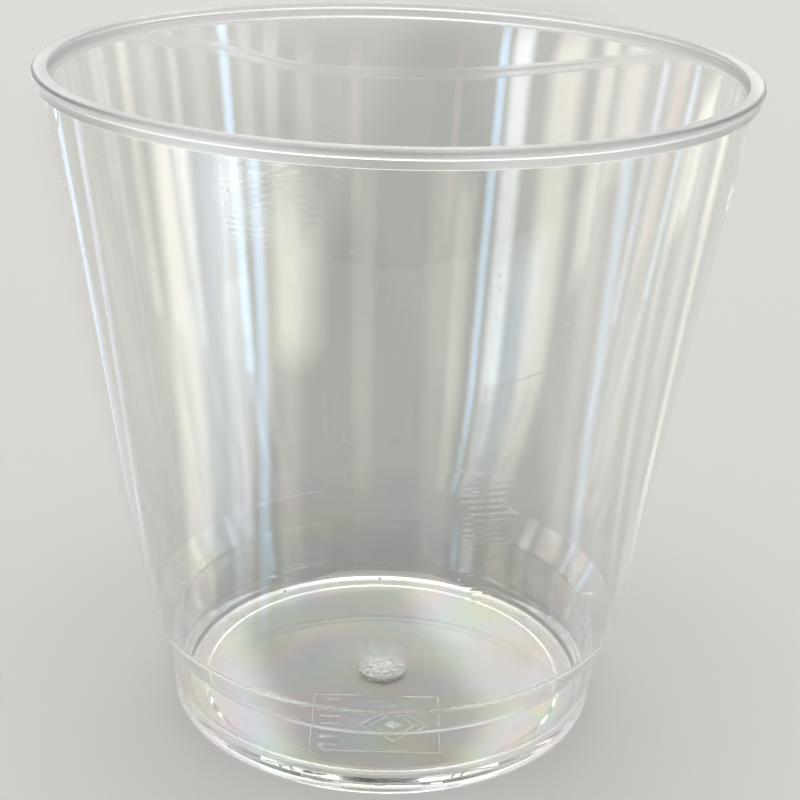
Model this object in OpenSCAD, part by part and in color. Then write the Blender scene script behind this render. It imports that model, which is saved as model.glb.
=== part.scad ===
// Clear plastic tumbler cup, one injection-moulded piece.
// Tapered wall with a beaded rim, a stacking shoulder above a short foot,
// and a floor that is recessed underneath so that the cup stands on its foot ring.
// The cup stands on z = 0 and its axis is the z axis. Sizes are in millimetres.

/* [Cup] */
// Diameter over the rim bead
rim_d = 86; // [80:0.5:92]
// Height of the cup
cup_h = 84.5; // [78:0.5:92]
// Thickness of the wall
wall_t = 1.1; // [0.95:0.05:1.4]

/* [Rim] */
// Height of the rounded bead at the top
bead_h = 1.15; // [1:0.05:1.4]
// How far the bead stands out beyond the collar under it
bead_step = 0.45; // [0.35:0.05:0.55]
// Height of the collar under the bead
collar_h = 0.95; // [0.7:0.05:1.3]
// How far the collar stands out beyond the wall
collar_step = 0.65; // [0.5:0.05:0.8]
// Rounding of the lip's inner edge
lip_round = 0.4; // [0.3:0.05:0.5]

/* [Shoulder] */
// Outer diameter at the top of the shoulder
shoulder_top_d = 62.6; // [61.5:0.1:64]
// Height of the top of the shoulder
shoulder_top_z = 13.8; // [13:0.1:15]
// Outer diameter at the bottom of the shoulder
shoulder_low_d = 58.2; // [57.8:0.1:59]
// Height of the bottom of the shoulder
shoulder_low_z = 9.6; // [8.8:0.1:10.4]
// Rounding of the shoulder's upper edge, outside
shoulder_round = 0.8; // [0.5:0.1:1.1]
// Radius of the hollow curve at the bottom of the shoulder, outside
shoulder_hollow = 0.8; // [0.5:0.1:1.1]
// Rounding of the ledge inside the cup that the next cup's foot lands on
ledge_round = 1.1; // [0.8:0.1:1.6]
// Radius of the hollow curve above the ledge, inside the cup
ledge_hollow = 1.6; // [1.2:0.1:2]

/* [Foot] */
// Outer diameter of the foot where it meets the table
foot_d = 56.2; // [55.4:0.1:57]
// Rounding of the foot's lower outer edge
foot_round = 0.9; // [0.6:0.1:1.2]
// Diameter of the recess in the underside
recess_d = 48.6; // [47:0.2:50]
// Depth of the recess in the underside
recess_h = 0.5; // [0.4:0.05:0.8]
// Thickness of the floor
floor_t = 1.1; // [0.9:0.05:1.4]
// Radius of the hollow curve from the floor to the wall, inside the cup
floor_round = 3; // [2:0.25:4]

/* [Mould marks] */
// Diameter of the lens-shaped gate mark in the middle of the floor
gate_d = 6.4; // [5:0.2:8]
// Height of the gate mark's dome and depth of the hollow under it
gate_h = 0.35; // [0.2:0.05:0.4]
// Diameter of the gate stub left in the hollow
stub_d = 1.3; // [0.9:0.1:1.8]
// Width of the framed field under the floor
frame_w = 16.8; // [15:0.2:18]
// Depth of the framed field under the floor
frame_l = 13.4; // [12:0.2:14]
// Distance of the framed field's middle from the cup's axis
frame_y = 13; // [12.4:0.1:13.4]
// How far the framed field sits to the left of the axis
frame_left = 0.7; // [0.3:0.1:0.9]
// Width of the raised lines
line_w = 0.35; // [0.3:0.05:0.5]
// Height of the raised lines
line_h = 0.15; // [0.1:0.01:0.2]
// Number of bars in the field's left column
bar_n = 7; // [5:1:9]
// Length of a bar
bar_l = 2.6; // [2.2:0.1:3]
// Width of a bar
bar_w = 0.45; // [0.35:0.05:0.6]
// Clear margin between the frame's edge and the bars
bar_margin = 1.2; // [1.1:0.1:1.4]
// Distance of the diamonds' middle from the middle of the framed field
mark_x = 2.3; // [2:0.1:2.3]
// Half width of the outer diamond, tip to middle
outer_mark = 4.5; // [4:0.1:4.6]
// Half width of the inner diamond, tip to middle
inner_mark = 3.1; // [2.7:0.1:3.1]
// Half width of the full diamond in the middle
core_mark = 1.2; // [0.9:0.1:1.4]

/* [Hidden] */

// facets round the axis and round the small arcs of the section
round_fn = 96;
arc_fn = 32;
// overlap of shapes that are joined
lap = 0.05;

rim_r = rim_d / 2;
foot_r = foot_d / 2;
low_r = shoulder_low_d / 2;
top_r = shoulder_top_d / 2;
collar_r = rim_r - bead_step;
wall_r = collar_r - collar_step;
wall_z = cup_h - bead_h - collar_h;
bead_z = cup_h - bead_h;
floor_z = recess_h + floor_t;

// lean of the three slopes, in degrees from upright
foot_lean = atan((low_r - foot_r) / shoulder_low_z);
shoulder_lean = atan((top_r - low_r) / (shoulder_top_z - shoulder_low_z));
wall_lean = atan((wall_r - top_r) / (wall_z - shoulder_top_z));

// corner of the inner face that lies one wall thickness behind an outer corner
function inner_corner(p, a, b) =
    p + wall_t / cos((b - a) / 2) * [-cos((a + b) / 2), sin((a + b) / 2)];

foot_out = [foot_r, 0];
low_out = [low_r, shoulder_low_z];
top_out = [top_r, shoulder_top_z];
low_in = inner_corner(low_out, foot_lean, shoulder_lean);
top_in = inner_corner(top_out, shoulder_lean, wall_lean);
floor_in = [foot_r + floor_z * tan(foot_lean) - wall_t / cos(foot_lean), floor_z];
lip_in = [wall_r + (cup_h - wall_z) * tan(wall_lean) - wall_t / cos(wall_lean), cup_h];

// what lies between a sharp corner p and the arc that rounds it, and a little beyond the corner;
// a and b are the directions of the two sides as they leave the corner
module corner(p, a, b, r) {
    half = (b - a) / 2;
    mid = (a + b) / 2;
    centre = p + r / sin(half) * [cos(mid), sin(mid)];
    past = r + 0.3;
    difference() {
        polygon([
            centre,
            centre + past * [sin(a), -cos(a)],
            centre - past / sin(half) * [cos(mid), sin(mid)],
            centre + past * [-sin(b), cos(b)]
        ]);
        translate(centre) circle(r = r, $fn = arc_fn);
    }
}

// half section of the cup as if it were solid
module outer_section() {
    difference() {
        union() {
            polygon([
                [0, 0], foot_out, low_out, top_out, [wall_r, wall_z],
                [collar_r, wall_z], [collar_r, bead_z + 0.15 * bead_h],
                [rim_r - bead_h / 2, bead_z + 0.15 * bead_h],
                [rim_r - bead_h / 2, cup_h], [0, cup_h]
            ]);
            // rounded bead
            translate([rim_r - bead_h / 2, cup_h - bead_h / 2])
                circle(d = bead_h, $fn = arc_fn);
            // hollow fillet at the bottom of the shoulder
            corner(low_out, -90 - foot_lean, 90 - shoulder_lean, shoulder_hollow);
        }
        corner(top_out, 90 - wall_lean, 270 - shoulder_lean, shoulder_round);
        corner(foot_out, 90 - foot_lean, 180, foot_round);
    }
}

// half section of the space inside the cup
module inner_section() {
    difference() {
        union() {
            polygon([
                [0, floor_z], floor_in, low_in, top_in, lip_in,
                lip_in + [tan(wall_lean), 1], [0, cup_h + 1]
            ]);
            // rounded ledge
            corner(low_in, -90 - foot_lean, 90 - shoulder_lean, ledge_round);
            // rounded inner edge of the lip
            corner(lip_in, -90 - wall_lean, 0, lip_round);
        }
        corner(top_in, 90 - wall_lean, 270 - shoulder_lean, ledge_hollow);
        corner(floor_in, 90 - foot_lean, 180, floor_round);
    }
}

// recess under the floor, with sloped sides
module recess() {
    translate([0, 0, -1])
        cylinder(r1 = recess_d / 2 + 1, r2 = recess_d / 2 - recess_h, h = recess_h + 1,
                 $fn = round_fn);
}

// lens-shaped cap, flat side on z = 0
module lens(d, h) {
    r = (d * d / 4 + h * h) / (2 * h);
    rotate_extrude($fn = round_fn) intersection() {
        translate([0, h - r]) circle(r = r, $fn = 720);
        square([d, h]);
    }
}

// diamond, r from its middle to a tip
module diamond(r) {
    rotate(45) square(r * sqrt(2), center = true);
}

// raised lines of the framed field, one line height thick
module field_lines() {
    bar_step = (frame_l - 2 * bar_margin - bar_w) / (bar_n - 1);
    linear_extrude(line_h + lap) {
        difference() {
            square([frame_w, frame_l], center = true);
            square([frame_w - 2 * line_w, frame_l - 2 * line_w], center = true);
        }
        // column of short bars
        for (i = [0 : bar_n - 1])
            translate([bar_margin - frame_w / 2, bar_margin - frame_l / 2 + i * bar_step])
                square([bar_l, bar_w]);
        // nested diamonds
        for (r = [inner_mark, outer_mark])
            translate([mark_x, 0]) difference() {
                diamond(r);
                diamond(r - line_w * sqrt(2));
            }
        translate([mark_x, 0]) diamond(core_mark);
    }
}

module tumbler() {
    color([0.86, 0.89, 0.88, 0.35]) union() {
        difference() {
            union() {
                difference() {
                    rotate_extrude($fn = round_fn) difference() {
                        outer_section();
                        inner_section();
                    }
                    recess();
                }
                // dome over the gate
                translate([0, 0, floor_z - lap]) cylinder(d = gate_d, h = lap, $fn = round_fn);
                translate([0, 0, floor_z]) lens(gate_d, gate_h);
                // framed field on the underside
                translate([-frame_left, -frame_y, recess_h - line_h]) field_lines();
            }
            // hollow under the gate
            translate([0, 0, recess_h]) lens(gate_d, gate_h);
        }
        // gate stub
        translate([0, 0, recess_h - 0.2]) cylinder(d = stub_d, h = gate_h + 0.4, $fn = 48);
    }
}

tumbler();
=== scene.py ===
import math

import bmesh
import bpy
from mathutils import Matrix, Vector, noise


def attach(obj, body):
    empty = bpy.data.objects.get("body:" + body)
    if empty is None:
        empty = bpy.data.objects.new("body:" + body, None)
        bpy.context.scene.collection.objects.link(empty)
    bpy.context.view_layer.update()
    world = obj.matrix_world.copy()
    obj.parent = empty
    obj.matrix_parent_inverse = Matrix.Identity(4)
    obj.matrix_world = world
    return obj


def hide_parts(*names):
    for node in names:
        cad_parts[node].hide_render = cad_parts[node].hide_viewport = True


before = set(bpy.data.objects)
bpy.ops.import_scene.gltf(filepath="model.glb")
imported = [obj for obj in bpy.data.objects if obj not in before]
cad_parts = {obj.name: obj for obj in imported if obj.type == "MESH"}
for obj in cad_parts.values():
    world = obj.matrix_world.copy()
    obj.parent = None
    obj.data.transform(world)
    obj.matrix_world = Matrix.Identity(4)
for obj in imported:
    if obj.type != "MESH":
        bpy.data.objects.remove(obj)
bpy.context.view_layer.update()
scene = bpy.context.scene
scene.view_settings.view_transform = "Standard"

MM = 0.001

# Sizes of the cup in millimetres, the same as in part.scad. It stands on z = 0 round the z axis.
RIM_R, CUP_H, WALL_T = 43.0, 84.5, 1.1
BEAD_H, BEAD_STEP, COLLAR_H, COLLAR_STEP, LIP_ROUND = 1.15, 0.45, 0.95, 0.65, 0.4
TOP_R, TOP_Z, LOW_R, LOW_Z = 31.3, 13.8, 29.1, 9.6
SHOULDER_ROUND, SHOULDER_HOLLOW, LEDGE_ROUND, LEDGE_HOLLOW = 0.8, 0.8, 1.1, 1.6
FOOT_R, FOOT_ROUND = 28.1, 0.9
RECESS_R, RECESS_H, FLOOR_T, FLOOR_ROUND = 24.3, 0.5, 1.1, 3.0
GATE_R, GATE_H, STUB_R = 3.2, 0.35, 0.65
FRAME_W, FRAME_L, FRAME_X, FRAME_Y = 16.8, 13.4, -0.7, -13.0
LINE_W, LINE_H = 0.35, 0.15
BAR_N, BAR_L, BAR_W, BAR_MARGIN = 7, 2.6, 0.45, 1.2
MARK_X, OUTER_MARK, INNER_MARK, CORE_MARK = 2.3, 4.5, 3.1, 1.2

COLLAR_R = RIM_R - BEAD_STEP
WALL_R = COLLAR_R - COLLAR_STEP
WALL_Z = CUP_H - BEAD_H - COLLAR_H
FLOOR_Z = RECESS_H + FLOOR_T

# How far the gate's stub hangs below the floor, and small edges that only the visual model has
STUB_DROP, STUB_EDGE, COLLAR_EDGE, RECESS_EDGE = 0.2, 0.04, 0.14, 0.15
# The raised lines: height of their tips and of their roots inside the floor, and how much
# narrower a line is at its tip
TIP_Z, ROOT_Z, LINE_SLOPE = RECESS_H - LINE_H, RECESS_H + 0.06, 0.22

# Fineness of the mesh: facets round the axis, steps of the bead and of the gate's cap, shortest
# and longest stretch of the section, and distance of a guard loop from a rounded corner
ROUND, BEAD_STEPS, GATE_STEPS = 288, 22, 10
SHORTEST, LONGEST, GUARD = 0.012, 7.0, 0.03
SHARP_ANGLE = 32

# Flow waves: height, where they start, how far they fade in at both ends, and their scale
WAVE, WAVE_FROM, FADE_LOW, FADE_HIGH = 0.11, 2.2, 8, 4
WAVE_TURN, WAVE_RISE = 2.6, 0.02

# Rubbed patches: angle in degrees and height in millimetres, then half the size each way
RUBBED = ((-110, 77.5, 13, 7), (-72.5, 39.5, 6, 6), (-109, 6.0, 7, 5), (118, 60, 16, 8))
RUBBED_FROM_R = 23


# Section of the cup

def lean(p, q):
    """Angle from upright of the line between two points (r, z)."""
    return math.atan2(q[0] - p[0], q[1] - p[1])


def inner_corner(p, a, b):
    """Corner of the inner face that lies one wall thickness behind an outer corner."""
    k = WALL_T / math.cos((b - a) / 2)
    m = (a + b) / 2
    return (p[0] - k * math.cos(m), p[1] + k * math.sin(m))


def rounded(points):
    """Polyline through (r, z, radius, steps), with a guard loop just outside each round corner."""
    out = []
    for i, (x, z, radius, steps) in enumerate(points):
        p = Vector((x, z))
        if radius <= 0 or i in (0, len(points) - 1):
            out.append(p)
            continue
        u = (Vector(points[i - 1][:2]) - p).normalized()
        v = (Vector(points[i + 1][:2]) - p).normalized()
        half = u.angle(v) / 2
        side = radius / math.tan(half)
        centre = p + (u + v).normalized() * radius / math.sin(half)
        start, end = p + u * side, p + v * side
        first = math.atan2(*(start - centre).yx)
        turn = math.atan2(*(end - centre).yx) - first
        turn = (turn + math.pi) % (2 * math.pi) - math.pi
        out.append(start + u * GUARD)
        for k in range(steps + 1):
            a = first + turn * k / steps
            out.append(centre + radius * Vector((math.cos(a), math.sin(a))))
        out.append(end + v * GUARD)
    return out


def gate_cap(base, stop=0.0):
    """Points of the gate's shallow cap on height base, from its edge to radius stop."""
    ball = (GATE_R * GATE_R + GATE_H * GATE_H) / (2 * GATE_H)
    out = []
    for k in range(GATE_STEPS + 1):
        r = GATE_R + (stop - GATE_R) * k / GATE_STEPS
        out.append(Vector((r, base + GATE_H - ball + math.sqrt(ball * ball - r * r))))
    return out


def thinned(points):
    """The points without those that lie almost on the one before."""
    out = [points[0]]
    for p in points[1:]:
        if (p - out[-1]).length > SHORTEST:
            out.append(p)
    return out


def ringed(points):
    """The points with more of them along stretches that are too long."""
    out = [points[0]]
    for p in points[1:]:
        n = max(1, math.ceil((p - out[-1]).length / LONGEST))
        q = out[-1]
        out += [q + (p - q) * k / n for k in range(1, n + 1)]
    return out


def cup_section():
    """Profile (r, z) from the axis inside the cup over the rim to the axis underneath."""
    foot_lean = lean((FOOT_R, 0), (LOW_R, LOW_Z))
    shoulder_lean = lean((LOW_R, LOW_Z), (TOP_R, TOP_Z))
    wall_lean = lean((TOP_R, TOP_Z), (WALL_R, WALL_Z))
    floor_in = (FOOT_R + FLOOR_Z * math.tan(foot_lean) - WALL_T / math.cos(foot_lean), FLOOR_Z)
    low_in = inner_corner((LOW_R, LOW_Z), foot_lean, shoulder_lean)
    top_in = inner_corner((TOP_R, TOP_Z), shoulder_lean, wall_lean)
    lip_r = WALL_R + (CUP_H - WALL_Z) * math.tan(wall_lean) - WALL_T / math.cos(wall_lean)
    bead_r = BEAD_H / 2
    bead_x, bead_z = RIM_R - bead_r, CUP_H - bead_r

    points = list(reversed(gate_cap(FLOOR_Z)))
    points += rounded([
        (GATE_R, FLOOR_Z, 0, 0), (*floor_in, FLOOR_ROUND, 16), (*low_in, LEDGE_ROUND, 6),
        (*top_in, LEDGE_HOLLOW, 6), (lip_r, CUP_H, LIP_ROUND, 9), (bead_x, CUP_H, 0, 0)])[1:]
    bead_end = math.acos((COLLAR_R - bead_x) / bead_r)
    for k in range(1, BEAD_STEPS + 1):
        a = math.pi / 2 - (math.pi / 2 + bead_end) * k / BEAD_STEPS
        points.append(Vector((bead_x + bead_r * math.cos(a), bead_z + bead_r * math.sin(a))))
    points += rounded([
        (COLLAR_R, CUP_H - BEAD_H, 0, 0), (COLLAR_R, WALL_Z, COLLAR_EDGE, 5),
        (WALL_R, WALL_Z, COLLAR_EDGE, 5), (TOP_R, TOP_Z, SHOULDER_ROUND, 6),
        (LOW_R, LOW_Z, SHOULDER_HOLLOW, 6), (FOOT_R, 0, FOOT_ROUND, 10),
        (RECESS_R, 0, RECESS_EDGE, 4), (RECESS_R - RECESS_H, RECESS_H, RECESS_EDGE, 4),
        (GATE_R, RECESS_H, 0, 0)])[1:]
    points += gate_cap(RECESS_H, STUB_R)[1:]
    stub_z = RECESS_H - STUB_DROP
    points += [Vector((STUB_R, stub_z + STUB_EDGE)), Vector((STUB_R - STUB_EDGE, stub_z)),
               Vector((0.0, stub_z))]
    return ringed(thinned(points))


def add_object(name, bm):
    """Object in the scene from a bmesh, which is freed."""
    mesh = bpy.data.meshes.new(name)
    bm.to_mesh(mesh)
    bm.free()
    ob = bpy.data.objects.new(name, mesh)
    scene.collection.objects.link(ob)
    return ob


def lathe(name, profile):
    """Closed surface from a profile that starts and ends on the axis."""
    bm = bmesh.new()
    rings = []
    for p in profile:
        if p.x < 1e-6:
            rings.append([bm.verts.new((0, 0, p.y * MM))])
            continue
        rings.append([bm.verts.new((p.x * MM * math.cos(2 * math.pi * i / ROUND),
                                    p.x * MM * math.sin(2 * math.pi * i / ROUND),
                                    p.y * MM)) for i in range(ROUND)])
    for lo, hi in zip(rings, rings[1:]):
        for i in range(ROUND):
            j = (i + 1) % ROUND
            # a ring on the axis has one point, so a quad there becomes a triangle
            face = []
            for v in (lo[i % len(lo)], lo[j % len(lo)], hi[j % len(hi)], hi[i % len(hi)]):
                if v not in face:
                    face.append(v)
            bm.faces.new(face)
    bmesh.ops.recalc_face_normals(bm, faces=bm.faces)
    return add_object(name, bm)


# Framed field of raised lines under the floor

def square(cx, cy, w, l, turn=0.0):
    c, s = math.cos(turn), math.sin(turn)
    return [(cx + x * c - y * s, cy + x * s + y * c)
            for x, y in ((-w / 2, -l / 2), (w / 2, -l / 2), (w / 2, l / 2), (-w / 2, l / 2))]


def prism(bm, root, tip, hole=None, hole_tip=None):
    """Closed raised shape with sloped sides, from its root outline to its tip; or a closed ring."""
    def ring(points, z):
        return [bm.verts.new((x * MM, y * MM, z * MM)) for x, y in points]

    n = len(root)
    low, high = ring(tip, TIP_Z), ring(root, ROOT_Z)
    for i in range(n):
        j = (i + 1) % n
        bm.faces.new((low[i], low[j], high[j], high[i]))
    if hole is None:
        bm.faces.new(list(reversed(low)))
        bm.faces.new(high)
        return
    hole_low, hole_high = ring(hole_tip, TIP_Z), ring(hole, ROOT_Z)
    for i in range(n):
        j = (i + 1) % n
        bm.faces.new((hole_low[j], hole_low[i], hole_high[i], hole_high[j]))
        bm.faces.new((low[j], low[i], hole_low[i], hole_low[j]))
        bm.faces.new((high[i], high[j], hole_high[j], hole_high[i]))


def bar(bm, cx, cy, w, l, turn=0.0):
    k = LINE_SLOPE
    prism(bm, square(cx, cy, w, l, turn), square(cx, cy, w - k, l - k, turn))


def outline(bm, cx, cy, w, l, turn=0.0):
    v, k = 2 * LINE_W, LINE_SLOPE
    prism(bm, square(cx, cy, w, l, turn), square(cx, cy, w - k, l - k, turn),
          square(cx, cy, w - v, l - v, turn), square(cx, cy, w - v + k, l - v + k, turn))


def field_lines():
    """Frame, column of short bars, and nested diamonds round a full one."""
    bm = bmesh.new()
    outline(bm, FRAME_X, FRAME_Y, FRAME_W, FRAME_L)
    bar_x = FRAME_X - FRAME_W / 2 + BAR_MARGIN + BAR_L / 2
    first_y = FRAME_Y - FRAME_L / 2 + BAR_MARGIN + BAR_W / 2
    for i in range(BAR_N):
        y = first_y + i * (FRAME_L - 2 * BAR_MARGIN - BAR_W) / (BAR_N - 1)
        bar(bm, bar_x, y, BAR_L, BAR_W)
    for mark in (INNER_MARK, OUTER_MARK):
        side = mark * math.sqrt(2)
        outline(bm, FRAME_X + MARK_X, FRAME_Y, side, side, math.pi / 4)
    side = CORE_MARK * math.sqrt(2)
    bar(bm, FRAME_X + MARK_X, FRAME_Y, side, side, math.pi / 4)
    bmesh.ops.recalc_face_normals(bm, faces=bm.faces)
    return add_object("field_lines", bm)


def join(cup, lines):
    """Joins the raised lines to the cup's underside, and removes their own object."""
    union = cup.modifiers.new("join", "BOOLEAN")
    union.operation = "UNION"
    union.solver = "EXACT"
    union.object = lines
    bpy.context.view_layer.update()
    graph = bpy.context.evaluated_depsgraph_get()
    joined = bpy.data.meshes.new_from_object(cup.evaluated_get(graph))
    cup.modifiers.clear()
    cup.data = joined
    bpy.data.objects.remove(lines)


def add_waves(mesh):
    """Flow waves left by moulding, a few hundredths of a millimetre, the same on both faces."""
    for v in mesh.vertices:
        q = v.co / MM
        if not WAVE_FROM < q.z < WALL_Z:
            continue
        a = math.atan2(q.y, q.x)
        place = Vector((math.cos(a) * WAVE_TURN, math.sin(a) * WAVE_TURN, q.z * WAVE_RISE))
        w = WAVE * noise.noise(place) * min(1.0, (q.z - WAVE_FROM) / FADE_LOW,
                                            (WALL_Z - q.z) / FADE_HIGH)
        v.co.x += w * MM * math.cos(a)
        v.co.y += w * MM * math.sin(a)


def store_field(mesh):
    """Slow fields for the material, kept on the mesh: x is a cloud, y is how rubbed it is."""
    field = mesh.color_attributes.new("field", "FLOAT_COLOR", "POINT")
    for v, item in zip(mesh.vertices, field.data):
        q = v.co / MM
        a = math.degrees(math.atan2(q.y, q.x))
        cloud = 0.5 + 0.8 * noise.noise(q * 0.05 + Vector((7.1, 3.4, 0.0)))
        rub = 0.0
        for angle, height, half_angle, half_height in RUBBED:
            d = math.hypot(((a - angle + 180) % 360 - 180) / half_angle,
                           (q.z - height) / half_height)
            if math.hypot(q.x, q.y) > RUBBED_FROM_R:
                rub = max(rub, min(1.0, 1.7 * (1 - d)))
        item.color = (cloud, rub, 0.0, 1.0)


# Materials

class Nodes:
    """Short calls for building a node tree."""

    def __init__(self, tree):
        self.tree = tree

    def new(self, kind, **values):
        n = self.tree.nodes.new(kind)
        for k, v in values.items():
            setattr(n, k, v)
        return n

    def put(self, socket, value):
        if hasattr(value, "is_output"):
            self.tree.links.new(value, socket)
        elif value is not None:
            socket.default_value = value

    def put_all(self, node, values):
        for socket, value in zip(node.inputs, values):
            self.put(socket, value)
        return node.outputs[0]

    def math(self, op, a, b=None, c=None):
        return self.put_all(self.new("ShaderNodeMath", operation=op), (a, b, c))

    def vector(self, op, *values):
        return self.put_all(self.new("ShaderNodeVectorMath", operation=op), values)

    def length(self, vector):
        n = self.new("ShaderNodeVectorMath", operation="LENGTH")
        self.put(n.inputs[0], vector)
        return n.outputs["Value"]

    def along(self, vector, x, y):
        """How far a place lies in a direction on the floor."""
        n = self.new("ShaderNodeVectorMath", operation="DOT_PRODUCT")
        self.put_all(n, (vector, (x, y, 0)))
        return n.outputs["Value"]

    def xyz(self, x, y, z):
        return self.put_all(self.new("ShaderNodeCombineXYZ"), (x, y, z))

    def split(self, vector):
        n = self.new("ShaderNodeSeparateXYZ")
        self.put(n.inputs[0], vector)
        return n.outputs

    def stored(self, name, output):
        return self.new("ShaderNodeAttribute", attribute_name=name).outputs[output]

    def ramp(self, value, lo, hi, out_lo=0.0, out_hi=1.0):
        n = self.new("ShaderNodeMapRange", interpolation_type="SMOOTHSTEP")
        return self.put_all(n, (value, lo, hi, out_lo, out_hi))

    def mix(self, factor, a, b):
        n = self.new("ShaderNodeMix", data_type="RGBA")
        self.put(n.inputs["Factor"], factor)
        self.put(n.inputs["A"], a)
        self.put(n.inputs["B"], b)
        return n.outputs["Result"]

    def millimetres(self):
        """Place on the object, in millimetres, as three outputs."""
        place = self.split(self.new("ShaderNodeTexCoord").outputs["Object"])
        return [self.math("MULTIPLY", place[i], 1000.0) for i in range(3)]


def new_material(name):
    """Material, its node calls and its Principled shader."""
    mat = bpy.data.materials.new(name)
    mat.use_nodes = True
    return mat, Nodes(mat.node_tree), mat.node_tree.nodes["Principled BSDF"]


# Index of refraction of the plastic, and of its whitish faces, which render dark inside the
# clear body at the plastic's own index
PLASTIC_IOR, FROSTED_IOR = 1.59, 2.4
# Ripples of the rubbed patches: radians for each millimetre, sway, and depth in millimetres
RIPPLE_PITCH, RIPPLE_SWAY, RIPPLE_DEPTH = 8.5, 30.0, 0.0038
# Specks on the wall, unrolled at this radius in millimetres: cells for each millimetre, and how
# much rougher a speck is
UNROLLED_R, SPECK_CELLS, SPECK_ROUGH = 37.0, 0.16, 0.25
# Roughness of rubbed patches, of the worn foot ring, and of the satin lip from least to most
RUB_ROUGH, RING_ROUGH, LIP_ROUGH = 0.06, 0.22, (0.28, 0.38)
# Where they fade in, in millimetres: the foot ring by height and by radius, and the lip
RING_Z, RING_FROM, LIP_Z = (0.02, 0.12), (23.8, 24.6), (WALL_Z - 0.4, WALL_Z + 0.2)
# Bands of stress colour: how fast they turn with the cloud and round the axis, the shift from
# red to green to blue, their depth and middle colour, and the height where they fade out
BAND_CLOUD, BAND_TURN, BAND_SHIFT, BAND_Z = 16.0, 2.0, 2.1, (6.0, 24.0)
BAND_DEPTH, BAND_COLOUR = (0.042, 0.030, 0.055), (0.965, 0.968, 0.950)
LIP_COLOUR = (1.0, 0.99, 0.985, 1)
WALL_COLOURS = ((0.905, 0.915, 0.895, 1), (0.93, 0.93, 0.915, 1))
# The whitish faces: colours, roughness, grain for each millimetre and its depth in metres, and
# where and how far they grow clear
FROSTED_COLOURS, FROSTED_ROUGH = ((0.90, 0.90, 0.87, 1), (0.99, 0.99, 0.97, 1)), (0.25, 0.45)
GRAIN, GRAIN_DEPTH, GRAIN_SPREAD = 2.2, 0.00004, 5.0
TORN_TO, FROSTED_CLEAR = (4.2, 6.4), 0.55


def clear_plastic():
    """Clear moulded plastic, with the index of polystyrene."""
    mat, g, p = new_material("clear_plastic")
    x, y, z = g.millimetres()
    r = g.math("SQRT", g.math("ADD", g.math("MULTIPLY", x, x), g.math("MULTIPLY", y, y)))
    turn = g.math("ARCTAN2", y, x)
    field = g.split(g.stored("field", "Vector"))
    cloud, rub = field["X"], field["Y"]

    # fine ripples where the wall was rubbed
    sway = g.math("MULTIPLY", cloud, RIPPLE_SWAY)
    ripples = g.math("SINE", g.math("MULTIPLY_ADD", z, RIPPLE_PITCH, sway))
    bump = g.new("ShaderNodeBump")
    bump.inputs["Strength"].default_value = 1.0
    bump.inputs["Distance"].default_value = MM
    height = g.math("MULTIPLY", g.math("MULTIPLY", ripples, rub), RIPPLE_DEPTH)
    g.put(bump.inputs["Height"], height)
    g.put(p.inputs["Normal"], bump.outputs["Normal"])

    # dust nips and tiny bubbles
    cells = g.new("ShaderNodeTexVoronoi", voronoi_dimensions="2D")
    flat = g.xyz(g.math("MULTIPLY", turn, UNROLLED_R), g.math("MULTIPLY_ADD", z, 0.6, r), 0.0)
    g.put(cells.inputs["Vector"], flat)
    cells.inputs["Scale"].default_value = SPECK_CELLS
    speck = g.ramp(cells.outputs["Distance"], 0.02, 0.04, 1.0, 0.0)

    # roughness: polished, hazier at the specks, where rubbed, on the foot ring and on the lip
    wear = g.math("MULTIPLY_ADD", speck, SPECK_ROUGH, g.math("MULTIPLY", rub, RUB_ROUGH))
    ring = g.math("MULTIPLY", g.ramp(z, *RING_Z, 1.0, 0.0), g.ramp(r, *RING_FROM))
    wear = g.math("MULTIPLY_ADD", ring, RING_ROUGH, wear)
    lip = g.ramp(z, *LIP_Z)
    satin = g.math("MULTIPLY", lip, g.ramp(cloud, 0.3, 0.7, *LIP_ROUGH))
    g.put(p.inputs["Roughness"], g.math("MAXIMUM", wear, satin))

    # colour: clear with a warm grey cast, very pale bands of stress colour on the floor and foot,
    # and an almost white lip
    phase = g.math("MULTIPLY_ADD", cloud, BAND_CLOUD, g.math("MULTIPLY", turn, BAND_TURN))
    bands = g.vector("SINE", g.xyz(phase, g.math("ADD", phase, BAND_SHIFT),
                                   g.math("ADD", phase, 2 * BAND_SHIFT)))
    tint = g.vector("MULTIPLY_ADD", bands, BAND_DEPTH, BAND_COLOUR)
    low = g.ramp(z, *BAND_Z, 1.0, 0.0)
    wall = g.mix(low, g.mix(cloud, *WALL_COLOURS), tint)
    g.put(p.inputs["Base Color"], g.mix(lip, wall, LIP_COLOUR))

    p.inputs["Metallic"].default_value = 0.0
    p.inputs["IOR"].default_value = PLASTIC_IOR
    p.inputs["Transmission Weight"].default_value = 1.0
    return mat


def frosted_plastic():
    """The gate and the raised lines: the same plastic with a torn or etched, whitish face."""
    mat, g, p = new_material("clear_plastic_frosted")
    place = g.xyz(*g.millimetres())
    cells = g.new("ShaderNodeTexNoise")
    g.put(cells.inputs["Vector"], place)
    cells.inputs["Scale"].default_value = GRAIN
    grain = cells.outputs[0]
    g.put(p.inputs["Roughness"], g.ramp(grain, 0.3, 0.7, *FROSTED_ROUGH))
    g.put(p.inputs["Base Color"], g.mix(grain, *FROSTED_COLOURS))
    # torn in the middle of the gate, clearer towards its edge and on the lines
    far = g.math("MULTIPLY_ADD", grain, GRAIN_SPREAD, g.length(place))
    g.put(p.inputs["Transmission Weight"], g.ramp(far, *TORN_TO, 0.0, FROSTED_CLEAR))
    bump = g.new("ShaderNodeBump")
    bump.inputs["Distance"].default_value = GRAIN_DEPTH
    g.put(bump.inputs["Height"], grain)
    g.put(p.inputs["Normal"], bump.outputs["Normal"])
    p.inputs["IOR"].default_value = FROSTED_IOR
    return mat


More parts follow.
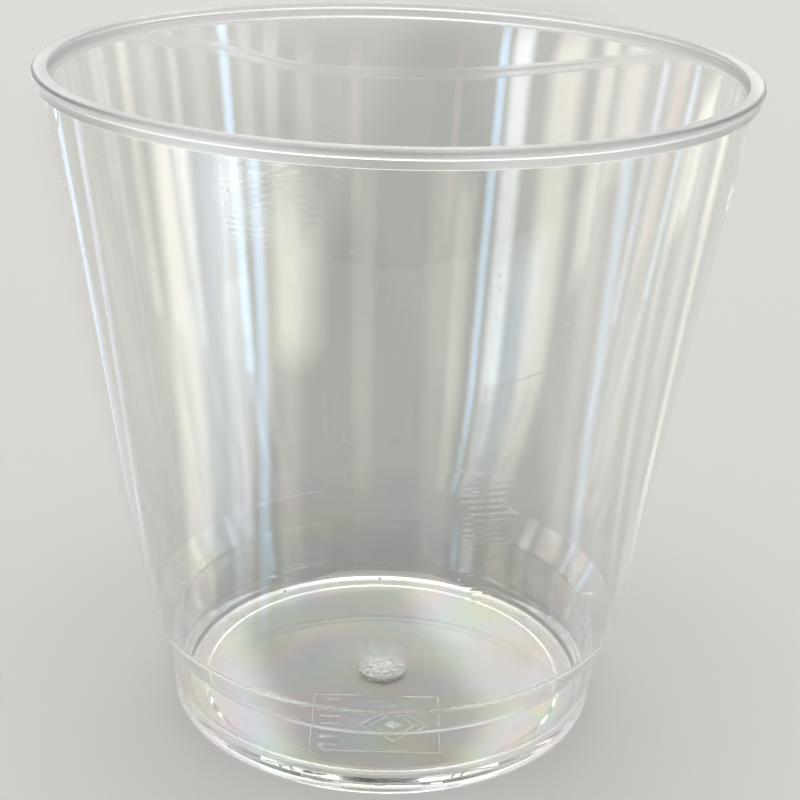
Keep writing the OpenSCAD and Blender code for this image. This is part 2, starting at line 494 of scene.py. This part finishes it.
def dress(cup):
    """Both materials on the cup, the frosted one on the gate and on the raised lines."""
    cup.data.materials.clear()
    cup.data.materials.append(clear_plastic())
    cup.data.materials.append(frosted_plastic())
    for poly in cup.data.polygons:
        c = poly.center / MM
        r = math.hypot(c.x, c.y)
        at_gate = r < GATE_R and c.z < FLOOR_Z + GATE_H + 0.1
        on_line = c.z < RECESS_H - 0.005 and GATE_R < r < RECESS_R - RECESS_H
        poly.material_index = 1 if at_gate or on_line else 0


cup = lathe("clear_tumbler", cup_section())
join(cup, field_lines())
add_waves(cup.data)
store_field(cup.data)
cup.data.shade_smooth()
cup.data.set_sharp_from_angle(angle=math.radians(SHARP_ANGLE))
dress(cup)

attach(cup, "root")
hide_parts("tumbler")


# Floor

# half its width and its height, in metres, just below the foot
FLOOR_HALF, FLOOR_DROP = 4.0, -0.0001
# the floor's own colour, the colour of the painted light under the cup, and the floor's roughness
FLOOR_COLOUR, PAINTED_LIGHT_COLOUR, FLOOR_ROUGH = (0.485, 0.483, 0.471, 1), (0.98, 0.975, 0.945, 1), 0.8
# the patches of painted light under the cup, which stand for the light its foot gathers: where they
# fade in or out, in metres, and how strong they are
UNDER_CUP, UNDER_EDGE, EDGE_POOL_LIGHT = (0.0265, 0.0285), (0.022, 0.0245), 0.6
FRONT_LIGHT_POOLS, RIGHT_LIGHT_POOL, RIGHT_POOL_LIGHT, LEAST_POOL_LIGHT = (0.012, 0.020), (0.005, 0.015), 0.9, 0.22
# their painted glow, a light that shows only where they are seen through the plastic, bluish at the
# left, yellowish at the right
GLOW, GLOW_SIDES = 0.30, (-0.014, 0.010)
LEFT_GLOW, RIGHT_GLOW = (0.94, 1.0, 1.0, 1), (1.0, 0.985, 0.87, 1)


def floor_material():
    """Plain pale floor, with paler patches of painted light only under the cup, where its foot
    gathers light; they also glow where they are seen through the plastic.
    """
    mat, g, p = new_material("floor_pale")
    p.inputs["Roughness"].default_value = FLOOR_ROUGH
    p.inputs["Specular IOR Level"].default_value = 0.0
    place = g.new("ShaderNodeNewGeometry").outputs["Position"]
    r = g.length(place)
    # painted light: the floor is made paler under the cup, most at the front corners, at the right
    # and round the foot's edge, as if lit by light the foot gathers
    under = g.ramp(r, *UNDER_CUP, 1.0, 0.0)
    sides = g.math("MAXIMUM", g.along(place, -0.95, -0.3), g.along(place, 0.95, -0.3))
    front = g.ramp(sides, *FRONT_LIGHT_POOLS)
    right = g.ramp(g.along(place, 0.95, 0.3), *RIGHT_LIGHT_POOL, 0.0, RIGHT_POOL_LIGHT)
    edge = g.ramp(r, *UNDER_EDGE, 0.0, EDGE_POOL_LIGHT)
    painted_light = g.math("MAXIMUM", g.math("MAXIMUM", front, right), edge)
    painted_light = g.math("MULTIPLY", under, painted_light)
    pale = g.math("MULTIPLY", under, g.math("MAXIMUM", painted_light, LEAST_POOL_LIGHT))
    g.put(p.inputs["Base Color"], g.mix(pale, FLOOR_COLOUR, PAINTED_LIGHT_COLOUR))
    # painted glow: the paler patches shine only for rays that come through the plastic
    through = g.new("ShaderNodeLightPath").outputs["Is Transmission Ray"]
    glow = g.math("MULTIPLY", g.math("MULTIPLY", painted_light, through), GLOW)
    g.put(p.inputs["Emission Strength"], glow)
    side = g.ramp(g.along(place, 1, 0), *GLOW_SIDES)
    g.put(p.inputs["Emission Color"], g.mix(side, LEFT_GLOW, RIGHT_GLOW))
    mat.cycles.emission_sampling = "NONE"
    # from below the floor is clear, so that the underside of the cup can be looked at
    clear = g.new("ShaderNodeBsdfTransparent").outputs[0]
    below = g.new("ShaderNodeNewGeometry").outputs["Backfacing"]
    one_sided = g.put_all(g.new("ShaderNodeMixShader"), (below, p.outputs[0], clear))
    g.put(mat.node_tree.nodes["Material Output"].inputs["Surface"], one_sided)
    return mat


floor_mesh = bpy.data.meshes.new("floor")
floor_mesh.from_pydata([(x * FLOOR_HALF, y * FLOOR_HALF, FLOOR_DROP)
                        for x, y in ((-1, -1), (1, -1), (1, 1), (-1, 1))], [], [(0, 1, 2, 3)])
floor_mesh.materials.append(floor_material())
floor = bpy.data.objects.new("floor", floor_mesh)
scene.collection.objects.link(floor)


# Light: a world that changes with height, softboxes, and low keys. Distances are in metres.

# height on the sky from 0 to 1, and level
FRONT_HALF = ((0.0, 0.10), (0.20, 0.20), (0.42, 0.6), (0.9, 0.45))
BACK_HALF = ((0.0, 0.85), (0.12, 0.75), (0.35, 0.34), (0.7, 0.4), (0.9, 0.5))
# the first and the last level of a half are a little warmer
END_TINT = (1.0, 1.0, 0.99)

WHITE, WARM, SUN_COLOUR, SUN_ANGLE = (1, 1, 1), (1.0, 0.985, 0.94), (1.0, 0.985, 0.96), 3
# name, place, height it is aimed at over the cup's foot, width, height, level, colour
SOFTBOXES = (
    ("overhead", (0.0, -0.05, 0.9), 0.0, 0.6, 0.5, 2.5, WHITE),
    ("front_top", (0.0, -0.50, 0.85), 0.05, 0.55, 0.55, 0.3, WHITE),
    ("back_panel", (0.0, 0.9, 0.50), 0.05, 0.9, 0.6, 1.3, WARM),
    ("back_high", (0.0, 0.62, 0.72), 0.05, 0.8, 0.2, 1.6, WHITE),
)
# name, azimuth from the front, elevation, level on the floor
LOW_KEYS = (("key_a", -5, 9, 0.22), ("key_b", 1, 10, 0.20), ("key_c", 12, 14, 0.10))


def sky_half(g, height, stops):
    n = g.new("ShaderNodeValToRGB")
    g.put(n.inputs[0], height)
    e = n.color_ramp.elements
    for end, (place, level) in zip(e, (stops[0], stops[-1])):
        end.position = place
        end.color = (*(level * c for c in END_TINT), 1)
    for place, level in stops[1:-1]:
        e.new(place).color = (level, level, level, 1)
    return n.outputs[0]


def studio_world():
    world = bpy.data.worlds.new("studio")
    scene.world = world
    world.use_nodes = True
    g = Nodes(world.node_tree)
    way = g.split(g.new("ShaderNodeTexCoord").outputs["Generated"])
    front, back = (sky_half(g, way["Z"], stops) for stops in (FRONT_HALF, BACK_HALF))
    colour = g.mix(g.ramp(way["Y"], -0.05, 0.6), front, back)
    g.put(world.node_tree.nodes["Background"].inputs["Color"], colour)


def softbox(name, place, aim, width, height, level, colour):
    lamp = bpy.data.lights.new(name, "AREA")
    lamp.shape = "RECTANGLE"
    lamp.size, lamp.size_y = width, height
    lamp.energy = math.pi * width * height * level
    lamp.color = colour
    ob = bpy.data.objects.new(name, lamp)
    ob.location = place
    way = Vector((0, 0, aim)) - Vector(place)
    ob.rotation_euler = way.to_track_quat("-Z", "Y").to_euler()
    ob.visible_camera = False
    scene.collection.objects.link(ob)


def low_key(name, azimuth, elevation, level):
    """Low, even front light, which throws the cup's long shadow backwards."""
    a, e = math.radians(azimuth), math.radians(elevation)
    lamp = bpy.data.lights.new(name, "SUN")
    lamp.energy = level * math.pi / math.sin(e)
    lamp.angle = math.radians(SUN_ANGLE)
    lamp.color = SUN_COLOUR
    lamp.cycles.use_multiple_importance_sampling = False
    ob = bpy.data.objects.new(name, lamp)
    way = Vector((-math.sin(a) * math.cos(e), math.cos(a) * math.cos(e), -math.sin(e)))
    ob.rotation_euler = way.to_track_quat("-Z", "Y").to_euler()
    ob.visible_glossy = ob.visible_transmission = False
    scene.collection.objects.link(ob)


studio_world()
for box in SOFTBOXES:
    softbox(*box)
for key in LOW_KEYS:
    low_key(*key)


# Strip cards round the cup, which show only where the plastic mirrors them

BLUE, PALE, CREAM = (0.42, 0.68, 1.0), (0.88, 0.95, 1.0), (1.0, 0.94, 0.80)
GREY, BROWN, LILAC = (1, 0.99, 0.96), (1, 0.62, 0.5), (0.72, 0.68, 1.0)
# azimuth of both edges from -Y towards +X, height of both ends in mm, level, colour
STRIPS = (
    (146, 131, 20, 110, 0.8, GREY), (126, 118, 0, 120, 1.7, CREAM),
    (114, 103, 0, 120, 1.0, GREY), (99, 94, 0, 120, 1.9, PALE),
    (90, 79, 0, 120, 0.9, GREY), (74.5, 68.5, 0, 125, 6.0, BLUE),
    (66, 58, 0, 120, 1.0, GREY), (55, 47, 70, 120, 1.3, GREY),
    (43, 33, 70, 120, 1.0, GREY), (62, 30, 4, 62, 3.0, CREAM),
    (86, 36, 48, 72, 3.4, PALE), (22, 8, 0, 80, 1.2, CREAM),
    (21, 15, 60, 120, 0.9, BROWN), (-22, -26, 50, 120, 0.9, BROWN),
    (-27, -37, 0, 78, 1.7, CREAM), (-39, -44, 0, 125, 5.5, BLUE),
    (-44, -55, 0, 125, 5.0, PALE), (-44, -72, 0, 52, 2.2, BLUE),
    (-60, -79, 0, 120, 3.4, CREAM), (-82, -92, 20, 120, 2.6, CREAM),
    (-92, -109, 50, 120, 2.2, CREAM), (-114, -118, 0, 120, 3.0, LILAC),
    (-121, -131, 10, 120, 1.1, BROWN), (-133, -137, 0, 110, 3.0, BLUE),
    (-140, -156, 10, 66, 2.2, CREAM),
)
# distance of the first card, and how much further out each next one stands, in metres
RING, APART = 0.27, 0.0004
# soft part of a card's width at each side, and of its height at each end, at most END_FADE mm
SIDE_SOFT, END_SOFT, END_FADE = 0.3, 0.3, 14
# a card that reaches the floor goes on over it, towards the cup: radius in metres and part of
# its level. It is weaker at the sides, where the wall is seen at a grazing angle.
RUN_Z, RUN = 0.0004, ((0.046, 0.0), (0.072, 0.36), (0.13, 0.62), (RING, 1.0))
SIDE_FROM, SIDE_PART = 70, 0.45


def card(bm, glow, azimuths, rows, colour):
    """Card from rows of (radius, height, level), dark at its left and right edge."""
    grid = []
    for far, z, level in rows:
        grid.append([bm.verts.new((far * math.sin(math.radians(a)),
                                   -far * math.cos(math.radians(a)), z)) for a in azimuths])
        glow.extend([c * level * lit for c in colour] for lit in (0, 1, 1, 0))
    for lo, hi in zip(grid, grid[1:]):
        for k in range(3):
            bm.faces.new((lo[k], lo[k + 1], hi[k + 1], hi[k]))


def strip_material():
    mat, g, p = new_material("strip_glow")
    mat.cycles.emission_sampling = "NONE"
    mat.node_tree.nodes.remove(p)
    lit = g.new("ShaderNodeEmission")
    g.put(lit.inputs["Color"], g.stored("glow", "Color"))
    mirrored = g.new("ShaderNodeLightPath").outputs["Glossy Depth"]
    g.put(lit.inputs["Strength"], g.math("GREATER_THAN", mirrored, 0.5))
    clear = g.new("ShaderNodeBsdfTransparent").outputs[0]
    both = g.put_all(g.new("ShaderNodeAddShader"), (lit.outputs[0], clear))
    g.put(mat.node_tree.nodes["Material Output"].inputs["Surface"], both)
    return mat


def all_cards():
    bm, glow = bmesh.new(), []
    for k, (a, b, low, high, level, colour) in enumerate(STRIPS):
        azimuths = (a, a + (b - a) * SIDE_SOFT, b + (a - b) * SIDE_SOFT, b)
        fade = min(END_FADE, END_SOFT * (high - low))
        far = RING + APART * k
        card(bm, glow, azimuths,
             [(far, low * MM, level * (low == 0)), (far, (low + fade) * MM, level),
              (far, (high - fade) * MM, level), (far, high * MM, 0.0)], colour)
        if low == 0:
            part = SIDE_PART if abs(a + b) / 2 > SIDE_FROM else 1.0
            card(bm, glow, azimuths,
                 [(min(r, far), RUN_Z, level * share * part) for r, share in RUN], colour)
    cards = add_object("strip_cards", bm)
    layer = cards.data.color_attributes.new("glow", "FLOAT_COLOR", "POINT")
    for item, colour in zip(layer.data, glow):
        item.color = (*colour, 1)
    cards.data.materials.append(strip_material())
    cards.visible_camera = cards.visible_diffuse = cards.visible_shadow = False
    return cards


strip_cards = all_cards()

# light that is guided inside the wall leaves it only after many turns
GUIDED_TURNS = 128
scene.cycles.max_bounces = GUIDED_TURNS
scene.cycles.glossy_bounces = GUIDED_TURNS
scene.cycles.transmission_bounces = GUIDED_TURNS
scene.cycles.diffuse_bounces = 2
scene.cycles.transparent_max_bounces = 32


# Camera at the photograph's viewing angle, without shift

# distance in front of the axis and height, in rim radii
CAMERA_BACK, CAMERA_UP = 4.694, 2.892
PITCH, YAW, ROLL = math.radians(22.45), math.radians(0.37), math.radians(1.78)
# focal length and frame in pixels, and the sensor that stands for the frame, in millimetres
FOCAL, FRAME_SIZE, SENSOR = 1697.5, 800, 36.0


def level_axes():
    """Right, up and ahead of the camera before it is rolled."""
    ahead = Vector((math.sin(YAW) * math.cos(PITCH), math.cos(YAW) * math.cos(PITCH),
                    -math.sin(PITCH)))
    right = Vector((math.cos(YAW), -math.sin(YAW), 0))
    return right, right.cross(ahead), ahead


right, up, ahead = level_axes()
rolled_right = math.cos(ROLL) * right + math.sin(ROLL) * up
rolled_up = math.cos(ROLL) * up - math.sin(ROLL) * right
lens = bpy.data.cameras.new("camera")
lens.sensor_width = SENSOR
lens.sensor_fit = "HORIZONTAL"
lens.lens = FOCAL / FRAME_SIZE * SENSOR
lens.clip_start = 0.01
camera = bpy.data.objects.new("camera", lens)
pose = Matrix((rolled_right, rolled_up, -ahead)).transposed().to_4x4()
rim = RIM_R * MM
pose.translation = Vector((0, -CAMERA_BACK * rim, CAMERA_UP * rim))
camera.matrix_world = pose
scene.collection.objects.link(camera)
scene.camera = camera
